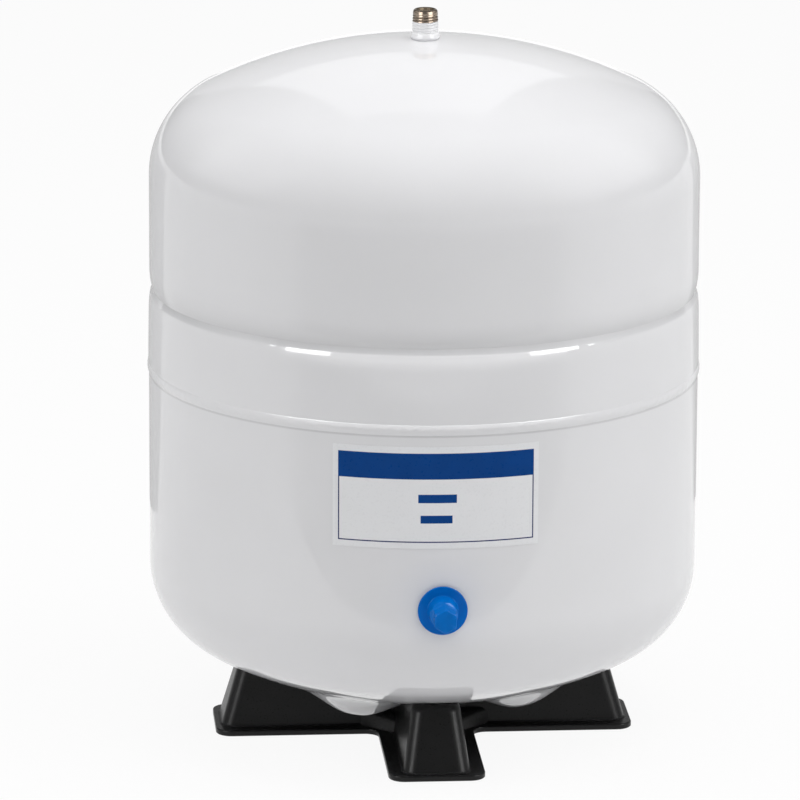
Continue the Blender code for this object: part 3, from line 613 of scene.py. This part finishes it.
def valve_cap():
    """Blue screw cap: dished disc, tapered neck and a hexagonal grip with soft edges."""
    seal, skirt_depth, skirt_r = 0.0012, 0.0054, 0.0062
    bevel, grip_steps = 0.00045, 40
    bore_end = STEM_OUT + GAP + seal + GAP
    skirt_end = skirt_depth + GAP
    bore_r = STEM_R + GAP
    disc_low = GAP + CAP_DISH
    disc_top = disc_low + CAP_DISC_WALL
    inside = [(0.0, bore_end), (bore_r, bore_end), (bore_r, skirt_end), (skirt_r, skirt_end), (skirt_r, GAP),
              (CAP_BASE_R, GAP)]
    disc = filleted([
        (CAP_BASE_R, GAP, 0), (CAP_DISC_R, disc_low, 0.0004), (CAP_DISC_R, disc_top, 0.0004),
        (CAP_DISC_R - 0.0011, disc_top - 0.00022, 0.0002), (CAP_BASE_R, GAP + CAP_DISC_WALL, 0.0006),
        (CAP_NECK_R, CAP_NECK_OUT, 0.0)], 5)
    grip = [(CAP_NECK_R + (CAP_TIP_R - CAP_NECK_R) * k / grip_steps,
             CAP_NECK_OUT + (CAP_OUT - CAP_NECK_OUT) * k / grip_steps) for k in range(1, grip_steps - 1)]
    tip = [(CAP_TIP_R - 0.0001, CAP_OUT - bevel), (CAP_TIP_R - 0.0003, CAP_OUT - 0.00022),
           (CAP_TIP_R - 0.0007, CAP_OUT), (0.0030, CAP_OUT), (0.0, CAP_OUT)]
    profile = inside + divided(disc, 0.0015)[1:] + grip + tip

    def flats(angle, r, z):
        grip_turn, blend_height = math.radians(2.5), 0.0030
        local = (angle - 0.5 * math.pi + grip_turn) % (math.pi / 3) - math.pi / 6
        limit = 0.5 * CAP_FLATS / np.cos(local)
        short = np.clip((CAP_NECK_OUT + blend_height - z) / blend_height, 0.0, 1.0)
        limit = limit + 0.0016 * short ** 2
        grip_part = (z > CAP_NECK_OUT - 0.0002) & (r > bore_r + 0.0001)
        soft = 0.00012
        gap = np.clip(r - limit, -0.004, 0.004)
        pressed = r - 0.5 * (gap + np.sqrt(gap**2 + soft**2))
        end_inset = np.clip((z - (CAP_OUT - bevel)) / bevel, 0.0, 1.0)
        bevelled = np.minimum(pressed, np.minimum(r, limit - bevel * end_inset))
        pressed = np.where(end_inset > 0, bevelled, pressed)
        return np.where(grip_part, pressed, r), z
    points, faces = swept(profile, 144, flats, False)
    cap = body("air_valve_cap", points, faces, [CAP_BLUE], 35.0, valve_frame())
    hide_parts("valve_cap")
    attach(cap, "cap")
    return cap


def core_spring():
    """Coil spring round the core's pin, built at one length."""
    steps, sides = 24, 8
    count = SPRING_TURNS * steps
    points = []
    for i in range(count + 1):
        turn = FULL_TURN * i / steps
        height = SPRING_LOW + (SPRING_HIGH - SPRING_LOW) * i / count
        for k in range(sides):
            around = FULL_TURN * k / sides
            r = SPRING_R + SPRING_WIRE_R * math.cos(around)
            z = height + SPRING_WIRE_R * math.sin(around)
            points.append((r * math.cos(turn), r * math.sin(turn), z))
    faces = grid_faces(count + 1, sides, False).tolist()
    faces += [list(range(sides))[::-1], [count * sides + k for k in range(sides)]]
    spring = body("core_spring_coil", points, faces, [SPRING_STEEL], 50.0, valve_frame())
    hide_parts("core_spring")
    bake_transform(spring)


# Making the label

def label():
    """Thin film bent round the wall, with fields of colour and no lettering."""
    line = 0.00062
    left, right = 0.0028, LABEL_WIDTH - 0.0026
    upper, lower = 0.0034, LABEL_HEIGHT - 0.0031
    header = upper + 0.0132
    middle = 0.5 * LABEL_WIDTH
    blocks = [(middle - 0.0090, middle + 0.0101, 0.0243, 0.0286),
              (middle - 0.0078, middle + 0.0080, 0.0350, 0.0390)]
    cuts_u = {0.0, LABEL_WIDTH, left, left + line, right - line, right}
    cuts_v = {0.0, LABEL_HEIGHT, upper, header, lower - line, lower}
    for a, b, c, d in blocks:
        cuts_u |= {a, b}
        cuts_v |= {c, d}
    cuts_u |= {LABEL_WIDTH * k / 64 for k in range(65)}
    us, vs = sorted(cuts_u), sorted(cuts_v)
    inner_r, outer_r = LOWER_R + 0.00002, LOWER_R + 0.00016
    plain, blue, navy = 0, 1, 2
    points, faces, tones = [], [], []
    for r in (outer_r, inner_r):
        for v in vs:
            for u in us:
                turn = LABEL_TURN - 0.5 * math.pi + (u - middle) / LOWER_R
                points.append((r * math.cos(turn), r * math.sin(turn), LABEL_TOP_Z - v))
    columns, rows = len(us), len(vs)
    back = columns * rows
    for j in range(rows - 1):
        for i in range(columns - 1):
            a = j * columns + i
            u, v = 0.5 * (us[i] + us[i + 1]), 0.5 * (vs[j] + vs[j + 1])
            faces.append((a, a + columns, a + columns + 1, a + 1))
            faces.append((back + a, back + a + 1, back + a + columns + 1, back + a + columns))
            tone = plain
            if left < u < right and upper < v < lower:
                if v < header:
                    tone = blue
                elif u < left + line or u > right - line or v > lower - line:
                    tone = navy
            if any(p < u < q and s < v < t for p, q, s, t in blocks):
                tone = blue
            tones += [tone, plain]
    for i in range(columns - 1):
        a, b = i, (rows - 1) * columns + i
        faces += [(a, a + 1, back + a + 1, back + a), (b + 1, b, back + b, back + b + 1)]
        tones += [plain, plain]
    for j in range(rows - 1):
        a, b = j * columns, j * columns + columns - 1
        faces += [(a + columns, a, back + a, back + a + columns),
                  (b, b + columns, back + b + columns, back + b)]
        tones += [plain, plain]
    mesh = bpy.data.meshes.new("label_film")
    mesh.from_pydata(points, [], faces)
    mesh.shade_smooth()
    mesh.set_sharp_from_angle(angle=math.radians(30.0))
    for look in (FILM, PRINT_BLUE, PRINT_NAVY):
        mesh.materials.append(look)
    mesh.polygons.foreach_set("material_index", tones)
    film = linked("label_film", mesh)
    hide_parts("label")
    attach(film, "tank")


# Making the stand

def bend(cx, cy, r, start, end, steps):
    """Points on an arc, both ends included."""
    turns = np.linspace(start, end, steps + 1)
    return [(cx + r * math.cos(t), cy + r * math.sin(t)) for t in turns]


def quarter_turns(points):
    """The same points repeated at each quarter turn about Z."""
    found = []
    for _ in range(4):
        found += points
        points = [(-y, x) for x, y in points]
    return found


def cross(half, reach, tip_r, inner_r, steps=8):
    """Outline of a four-armed cross with rounded tips and rounded inner corners."""
    tip_r = max(tip_r, 0.0002)
    points = bend(reach - tip_r, tip_r - half, tip_r, -0.5 * math.pi, 0.0, steps)
    points += bend(reach - tip_r, half - tip_r, tip_r, 0.0, 0.5 * math.pi, steps)
    points += bend(half + inner_r, half + inner_r, inner_r, 1.5 * math.pi, math.pi, steps)
    return quarter_turns(points)


def octagon(half, face):
    """Outline with four long corner faces, and short ends hidden inside the arms."""
    reach = math.sqrt(2.0) * face - half
    return quarter_turns([(reach, -half), (reach, half)])


def lofted(name, rings):
    """A closed body through (outline, height) rings of equal counts."""
    count = len(rings[0][0])
    points = [(x, y, z) for outline, z in rings for x, y in outline]
    faces = grid_faces(len(rings), count, False).tolist()
    faces.append(list(range(count))[::-1])
    faces.append([(len(rings) - 1) * count + k for k in range(count)])
    mesh = bpy.data.meshes.new(name)
    mesh.from_pydata(points, [], faces)
    mesh.validate()
    return linked(name, mesh)


def hump_ring(z, wall, inset):
    """Outline of the arms' raised boxes at a height."""
    up = z - STAND_FLANGE
    half = 0.5 * HUMP_WIDTH - wall - inset - up * math.tan(SIDE_DRAFT)
    reach = ARM_LENGTH - HUMP_SETBACK - wall - inset - up * math.tan(END_DRAFT)
    return cross(half, reach, HUMP_CORNER_R - min(inset, 0.0), HUMP_CORNER_R + min(inset, 0.0)), z


def dome_z(r, offset):
    """Height of the lower dome, without feet, at a radius, grown by an offset."""
    return LOWER_TANGENT_Z + LOWER_RISE - math.sqrt((LOWER_CROWN_R + offset) ** 2 - r * r)


def dome_cutter(name, offset):
    """The lower dome with its feet, grown by a gap."""
    rim = LOWER_CROWN_R * LOWER_REACH / (LOWER_CROWN_R - LOWER_KNUCKLE_R)
    line = [(0.0, LOWER_TANGENT_Z), (rim, LOWER_TANGENT_Z)]
    line += [(r, dome_z(r, offset)) for r in np.linspace(rim, 0.0, 56)]
    points, faces = swept(line, 192, press_lobes, False)
    return body(name, points, faces, [], 40.0)


def stand():
    """Moulded stand: flanged cross with raised arms, hollow underneath, and a centre boss."""
    half, chamfer = 0.5 * ARM_WIDTH, 0.0004
    levels = [(chamfer, 0.0), (0.0, chamfer), (0.0, STAND_FLANGE - FLANGE_EDGE)]
    levels += [(FLANGE_EDGE * (1.0 - math.cos(t)), STAND_FLANGE - FLANGE_EDGE * (1.0 - math.sin(t)))
               for t in np.linspace(0.0, 0.5 * math.pi, 6)[1:]]
    flange = [(cross(half - inset, ARM_LENGTH - inset, FLANGE_CORNER_R - inset, FLANGE_INNER_R + inset), z)
              for inset, z in levels]
    stand_body = lofted("tank_stand", flange)

    round_z = dome_z(SEAT_R, 0.0) - HUMP_ROUND
    humps = [hump_ring(0.5 * STAND_FLANGE, 0.0, -HUMP_FILLET)]
    for t in np.linspace(0.0, 0.5 * math.pi, 6):
        humps.append(hump_ring(STAND_FLANGE - 0.00003 + HUMP_FILLET * math.sin(t), 0.0,
                               -HUMP_FILLET * math.cos(t) * (1.0 - math.sin(t))))
    humps += [hump_ring(z, 0.0, 0.0) for z in np.linspace(2.0 * STAND_FLANGE, round_z, 6)]
    for t in np.linspace(0.0, 0.5 * math.pi, 9)[1:]:
        z = round_z + HUMP_ROUND * math.sin(t)
        inset = HUMP_ROUND * (1.0 - math.cos(t)) - (z - round_z) * math.tan(SIDE_DRAFT)
        humps.append(hump_ring(z, 0.0, inset))
    hump_body = lofted("humps", humps)

    def hub_rings(low, share, wall):
        top = HUB_HEIGHT - wall
        levels = [(low, 0.0), (top - HUB_ROUND, 0.0)]
        levels += [(top - HUB_ROUND * (1.0 - math.sin(t)), HUB_ROUND * (1.0 - math.cos(t)))
                   for t in np.linspace(0.0, 0.5 * math.pi, 6)[1:]]
        rings = []
        for z, inset in levels:
            face = HUB_FACE - wall - inset - (z - STAND_FLANGE) * math.tan(SIDE_DRAFT)
            rings.append((octagon(share * HUMP_WIDTH, face), z))
        return rings
    hub = lofted("hub", hub_rings(0.5 * STAND_FLANGE, 0.35, 0.0))
    hub_hollow = lofted("hub_hollow", hub_rings(-2.0 * STAND_FLANGE, 0.30, STAND_WALL))
    hollow = lofted("hollow", [hump_ring(z, STAND_WALL, 0.0) for z in (-STAND_FLANGE, round_z)])
    combine(hollow, dome_cutter("bowl_outside", GAP + STAND_WALL), "DIFFERENCE")

    points, faces = swept([(0.0, 0.0), (BOSS_R, 0.0), (BOSS_R, DOME_CLEARANCE), (0.0, DOME_CLEARANCE)],
                          48, None, False)
    boss = body("boss", points, faces, [], 40.0)
    combine(stand_body, hump_body, "UNION")
    combine(stand_body, hub, "UNION")
    combine(stand_body, hollow, "DIFFERENCE")
    combine(stand_body, hub_hollow, "DIFFERENCE")
    combine(stand_body, boss, "UNION")
    combine(stand_body, dome_cutter("bowl_inside", GAP), "DIFFERENCE")
    stand_body.data.materials.clear()
    stand_body.data.materials.append(STAND_BLACK)
    stand_body.data.shade_smooth()
    finish_boolean(stand_body, 28.0)
    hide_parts("stand")
    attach(stand_body, "tank")
    return stand_body


# Finishing the inner pieces

def inner_finishes():
    """Materials of the CAD nodes that stay."""
    brass = ((0.62, 0.45, 0.20), 0.28, 1.0, 0.10, 700.0, 0.00001)
    steel = ((0.55, 0.55, 0.56), 0.32, 1.0, 0.10, 500.0, 0.00001)
    rubber = ((0.022, 0.022, 0.024), 0.62, 0.0, 0.25, 300.0, 0.00004)
    plastic = ((0.78, 0.78, 0.75), 0.42, 0.0, 0.05, 120.0, 0.00002)
    kinds = {
        "clench_ring": ((0.42, 0.42, 0.43), 0.38, 1.0, 0.15, 90.0, 0.00003),
        "liner": plastic, "liner_nut": plastic,
        "diaphragm": ((0.026, 0.026, 0.028), 0.70, 0.0, 0.25, 60.0, 0.00006),
        "port_o_ring": rubber, "valve_gasket": rubber, "core_seal": rubber, "cap_seal": rubber,
        "valve_stem": brass, "core_barrel": brass, "core_pin": brass,
        "valve_washer": steel, "valve_nut": steel,
        "core_barrel_seal": ((0.60, 0.07, 0.05), 0.45, 0.0, 0.10, 900.0, 0.00001),
    }
    for name, values in kinds.items():
        look = finish_of(name + "_finish", *values)
        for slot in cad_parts[name].material_slots:
            slot.material = look


# Camera and light

# Camera fitted to the photograph: pixels, metres, and its level directions
PHOTO_WIDTH = 800.0
FOCAL_LENGTH = 6631.84
SENSOR_WIDTH = 36.0
CAMERA_PLACE = Vector((-0.25163, -3.28518, 1.01012))
CAMERA_TARGET = Vector((0.0, 0.0, 0.1709))
CAMERA_ROLL = math.radians(0.27)
CAMERA_ASIDE = -0.01189
CAMERA_RIGHT = Vector((0.99708, -0.07637, 0.0))
CAMERA_AHEAD = Vector((0.07637, 0.99708, 0.0))


def aim(thing, place, target, roll=0.0):
    """Points an object's -Z at a target, then rolls it about that line."""
    look = (Vector(target) - Vector(place)).to_track_quat("-Z", "Y").to_matrix().to_4x4()
    thing.matrix_world = Matrix.Translation(place) @ look @ Matrix.Rotation(roll, 4, "Z")


def camera():
    """The photograph's camera."""
    lens = bpy.data.cameras.new("photo_camera")
    lens.sensor_width = SENSOR_WIDTH
    lens.lens = FOCAL_LENGTH * SENSOR_WIDTH / PHOTO_WIDTH
    lens.clip_end = 60.0
    eye = linked("photo_camera", lens)
    shift = CAMERA_RIGHT * CAMERA_ASIDE
    aim(eye, CAMERA_PLACE + shift, CAMERA_TARGET + shift, CAMERA_ROLL)
    bpy.context.scene.camera = eye


# Soft rectangular lamps: azimuth from the camera's side (positive to its right), elevation,
# distance, width, height and radiance
LAMPS = {
    "over": (0.0, 89.9, 3.2, 2.6, 2.2, 2.34),
    "over_front": (0.0, 72.0, 3.0, 2.4, 0.9, 0.774),
    "over_right": (60.0, 62.0, 3.0, 1.6, 1.1, 3.162),
    "front_top": (10.0, 48.0, 3.0, 2.6, 1.0, 1.50),
    "right": (85.0, 25.0, 3.0, 2.3, 2.1, 1.32),
    "left": (-85.0, 25.0, 3.0, 2.3, 2.1, 1.45),
}
# Upright panels behind: shift, distance behind, foot, top, width and radiance
PANELS = {
    "panel_high": (-0.043, 1.6, 1.05, 2.71, 0.945, 0.56),
    "panel_low": (-0.043, 1.6, 0.15, 1.05, 0.945, 0.20),
}
# Faint lamps beside the tank that show only as reflections, stacked for a soft edge
SHEENS = {
    "sheen_right_large": (88.0, 32.0, 3.0, 3.6, 2.4, 0.26),
    "sheen_right_middle": (88.0, 30.0, 3.0, 3.0, 1.8, 0.26),
    "sheen_right_small": (88.0, 28.0, 3.0, 2.4, 1.2, 0.26),
    "sheen_left_large": (-92.0, 30.0, 3.0, 3.2, 2.2, 0.22),
    "sheen_left_middle": (-92.0, 27.0, 3.0, 2.6, 1.6, 0.22),
    "sheen_left_small": (-92.0, 24.0, 3.0, 2.0, 1.0, 0.22),
}
# Lamps that only the named pieces reflect, laid out as the soft lamps are
GLINTS = {
    "band_left": (("band",), (-46.0, 8.0, 1.2, 0.40, 0.36, 12.0)),
    "band_left_end": (("band",), (-61.5, 7.0, 1.2, 0.06, 0.24, 8.0)),
    "band_right": (("band",), (52.5, 8.0, 1.2, 0.46, 0.36, 12.0)),
    "band_right_end": (("band",), (69.0, 7.0, 1.2, 0.07, 0.24, 8.0)),
    "band_last": (("band",), (0.0, -9.2, 0.85, 2.8, 0.04, 0.55)),
    "band_low": (("band",), (0.0, -5.5, 0.85, 2.8, 0.075, 1.3)),
    "band_middle": (("band",), (0.0, 0.5, 0.85, 2.8, 0.104, 2.1)),
    "band_line": (("band",), (0.0, 12.0, 0.85, 2.8, 0.24, 3.0)),
    "bead_left": (("bead",), (-51.0, 34.0, 1.2, 0.42, 0.48, 11.0)),
    "bead_right": (("bead",), (57.0, 34.0, 1.2, 0.50, 0.48, 11.0)),
    "bead_high": (("bead",), (0.0, 34.0, 0.85, 2.8, 0.42, 4.4)),
    "bead_low": (("bead",), (0.0, 8.0, 0.85, 2.8, 0.36, 2.0)),
    "stand_left": (("stand",), (-51.0, 18.0, 1.2, 0.42, 0.70, 8.0)),
    "stand_right": (("stand",), (57.0, 18.0, 1.2, 0.50, 0.70, 8.0)),
    "cap_left": (("cap",), (-51.0, 18.0, 1.2, 0.42, 0.70, 14.0)),
    "cap_right": (("cap",), (57.0, 18.0, 1.2, 0.50, 0.70, 10.0)),
    "cap_edge": (("cap",), (93.0, 45.0, 1.2, 0.46, 0.32, 16.0)),
    "port_left": (("port", "collar"), (-46.0, 18.0, 1.2, 0.60, 1.4, 4.5)),
    "port_right": (("port", "collar"), (50.0, 18.0, 1.2, 0.80, 1.4, 4.5)),
}
# Dimmer corners of the room behind: azimuths of their two sides, in degrees as the lamps'
DIM_CORNERS = {"dim_left": (-134.0, -174.0), "dim_right": (146.0, 174.0)}
DIM_CORNER_NEAR, DIM_CORNER_FAR = 0.5, 6.0
DIM_CORNER_GLOW = 0.56
# Dim room in front: half the width of its card and the card's two ends, the distances and the angles off its
# middle over which it brightens, and its glow where it is darkest and lightest
DIM_ROOM_SIDE, DIM_ROOM_NEAR, DIM_ROOM_FAR = 4.0, 0.43, 2.6
DIM_ROOM_FADE_NEAR, DIM_ROOM_FADE_FAR = 0.7, 2.4
DIM_ROOM_MIDDLE = math.radians(3.2)
DIM_ROOM_OPENING, DIM_ROOM_OPENING_END = math.radians(48.0), math.radians(58.0)
DIM_ROOM_DARK, DIM_ROOM_LIGHT = 0.22, 0.95
# Floor and surroundings
FLOOR_HALF = 30.0
FLOOR_WHITE_SHARE = 0.92
WORLD_GLOW = 0.284
LAMP_CENTRE = Vector((0.0, 0.0, 0.2))


def heading(azimuth):
    """The level direction at an azimuth in degrees from the camera's side, positive to its right."""
    side = math.radians(azimuth)
    return CAMERA_RIGHT * math.sin(side) - CAMERA_AHEAD * math.cos(side)


def area_light(name, width, height, radiance):
    """A rectangular lamp that the camera doesn't see."""
    light = bpy.data.lights.new(name, "AREA")
    light.shape = "RECTANGLE"
    light.size, light.size_y = width, height
    light.energy = radiance * math.pi * width * height
    thing = linked(name, light)
    thing.visible_camera = False
    return thing


def lamp(name, azimuth, elevation, distance, width, height, radiance):
    """A soft rectangular lamp that faces the object's middle."""
    thing = area_light(name, width, height, radiance)
    up = math.radians(elevation)
    away = heading(azimuth) * math.cos(up) + Vector((0.0, 0.0, math.sin(up)))
    aim(thing, LAMP_CENTRE + away * distance, LAMP_CENTRE)
    return thing


def panel(name, side, ahead, low, high, width, radiance):
    """An upright panel behind the tank that shows only as a reflection."""
    thing = area_light(name, width, high - low, radiance)
    middle = CAMERA_RIGHT * side + Vector((0.0, 0.0, 0.5 * (low + high)))
    aim(thing, middle + CAMERA_AHEAD * ahead, middle)
    thing.visible_diffuse = False


def dim_card(name, corners):
    """A glowing card that only reflections show, its material and its emission node."""
    mesh = bpy.data.meshes.new(name)
    mesh.from_pydata(corners, [], [(0, 1, 2, 3)])
    card = linked(name, mesh)
    look = bpy.data.materials.new(name)
    look.use_nodes = True
    nodes = look.node_tree.nodes
    glow = nodes.new("ShaderNodeEmission")
    look.node_tree.links.new(glow.outputs["Emission"], nodes["Material Output"].inputs["Surface"])
    mesh.materials.append(look)
    card.visible_camera = False
    card.visible_diffuse = False
    card.visible_transmission = False
    card.visible_shadow = False
    return card, look, glow


def dim_room():
    """The dimmer room in front, flat on the floor: only reflections show it, and its edges fade."""
    side, near, far = DIM_ROOM_SIDE, DIM_ROOM_NEAR, DIM_ROOM_FAR
    corners = [(-side, near, 0.0), (side, near, 0.0), (side, far, 0.0), (-side, far, 0.0)]
    card, dim, glow = dim_card("dim_room", corners)
    card.matrix_world = Matrix((CAMERA_RIGHT, -CAMERA_AHEAD, (0.0, 0.0, -1.0))).transposed().to_4x4()
    nodes, links = dim.node_tree.nodes, dim.node_tree.links
    where = nodes.new("ShaderNodeTexCoord")
    split = nodes.new("ShaderNodeSeparateXYZ")
    links.new(where.outputs["Object"], split.inputs["Vector"])

    def worked(operation, first, second):
        step = nodes.new("ShaderNodeMath")
        step.operation = operation
        for socket, value in zip(step.inputs, (first, second)):
            if isinstance(value, float):
                socket.default_value = value
            else:
                links.new(value, socket)
        return step.outputs[0]
    azimuth = worked("ARCTAN2", split.outputs["X"], split.outputs["Y"])
    off = worked("ABSOLUTE", worked("SUBTRACT", azimuth, DIM_ROOM_MIDDLE), 0.0)
    beside = span(dim, off, 0.0, 1.0, DIM_ROOM_OPENING, DIM_ROOM_OPENING_END)
    beyond = span(dim, split.outputs["Y"], 0.0, 1.0, DIM_ROOM_FADE_NEAR, DIM_ROOM_FADE_FAR)
    strength = span(dim, worked("MAXIMUM", beside, beyond), DIM_ROOM_DARK, DIM_ROOM_LIGHT, 0.0, 1.0)
    links.new(strength, glow.inputs["Strength"])


def dim_corner(name, start, end):
    """A dimmer corner of the room behind, between two azimuths, that only reflections show."""
    near, far = DIM_CORNER_NEAR, DIM_CORNER_FAR
    corners = [heading(azimuth) * distance
               for distance, azimuth in ((near, start), (near, end), (far, end), (far, start))]
    card, _, glow = dim_card(name, corners)
    glow.inputs["Strength"].default_value = DIM_CORNER_GLOW


def glint(name, pieces, values):
    """A lamp that shows only as a reflection, and only in some pieces."""
    thing = lamp(name, *values)
    thing.visible_diffuse = False
    receivers = bpy.data.collections.new(name + "_receivers")
    for piece in pieces:
        receivers.objects.link(piece)
    thing.light_linking.receiver_collection = receivers


def white_to_eye(made, plain, share):
    """A mix that leaves room for a share of white, shown to camera, glossy and transmission rays."""
    links = made.links
    path = made.nodes.new("ShaderNodeLightPath")
    first, second, scale = [made.nodes.new("ShaderNodeMath") for _ in range(3)]
    first.operation = second.operation = "MAXIMUM"
    scale.operation = "MULTIPLY"
    scale.inputs[1].default_value = share
    links.new(path.outputs["Is Camera Ray"], first.inputs[0])
    links.new(path.outputs["Is Transmission Ray"], first.inputs[1])
    links.new(first.outputs[0], second.inputs[0])
    links.new(path.outputs["Is Glossy Ray"], second.inputs[1])
    links.new(second.outputs[0], scale.inputs[0])
    mix = made.nodes.new("ShaderNodeMixShader")
    links.new(scale.outputs[0], mix.inputs["Fac"])
    links.new(plain, mix.inputs[1])
    return mix


def studio(pieces):
    """Pale floor, white surroundings and soft lamps."""
    scene = bpy.context.scene
    scene.view_settings.view_transform = "Standard"

    mesh = bpy.data.meshes.new("floor")
    wide = FLOOR_HALF
    mesh.from_pydata([(-wide, -wide, 0.0), (wide, -wide, 0.0), (wide, wide, 0.0), (-wide, wide, 0.0)], [],
                     [(0, 1, 2, 3)])
    floor = linked("floor", mesh)
    floor.location.z = -0.0002
    pale, shader = shader_of("floor_pale", (0.80, 0.80, 0.80), 0.9)
    shader.inputs["Specular IOR Level"].default_value = 0.0
    tree = pale.node_tree
    glow = tree.nodes.new("ShaderNodeEmission")
    glow.inputs["Strength"].default_value = 1.0
    mix = white_to_eye(tree, shader.outputs["BSDF"], FLOOR_WHITE_SHARE)
    tree.links.new(glow.outputs["Emission"], mix.inputs[2])
    tree.links.new(mix.outputs["Shader"], tree.nodes["Material Output"].inputs["Surface"])
    mesh.materials.append(pale)

    world = bpy.data.worlds.new("studio")
    scene.world = world
    world.use_nodes = True
    tree = world.node_tree
    backdrop = tree.nodes["Background"]
    backdrop.inputs["Color"].default_value = (1.0, 1.0, 1.0, 1.0)
    backdrop.inputs["Strength"].default_value = WORLD_GLOW
    bright = tree.nodes.new("ShaderNodeBackground")
    bright.inputs["Strength"].default_value = 1.0
    path = tree.nodes.new("ShaderNodeLightPath")
    mix = tree.nodes.new("ShaderNodeMixShader")
    tree.links.new(path.outputs["Is Camera Ray"], mix.inputs["Fac"])
    tree.links.new(backdrop.outputs["Background"], mix.inputs[1])
    tree.links.new(bright.outputs["Background"], mix.inputs[2])
    tree.links.new(mix.outputs["Shader"], tree.nodes["World Output"].inputs["Surface"])

    for name, values in LAMPS.items():
        lamp(name, *values).visible_glossy = False
    for name, values in PANELS.items():
        panel(name, *values)
    for name, values in SHEENS.items():
        lamp(name, *values).visible_diffuse = False
    dim_room()
    for name, sides in DIM_CORNERS.items():
        dim_corner(name, *sides)
    for name, (receivers, values) in GLINTS.items():
        glint(name, [pieces[receiver] for receiver in receivers], values)


made_pieces = {"band": upper_shell(), "bead": seam_bead(), "cap": valve_cap(), "stand": stand()}
made_pieces["port"], made_pieces["collar"] = water_port()
lower_shell()
label()
core_spring()
inner_finishes()
camera()
studio(made_pieces)
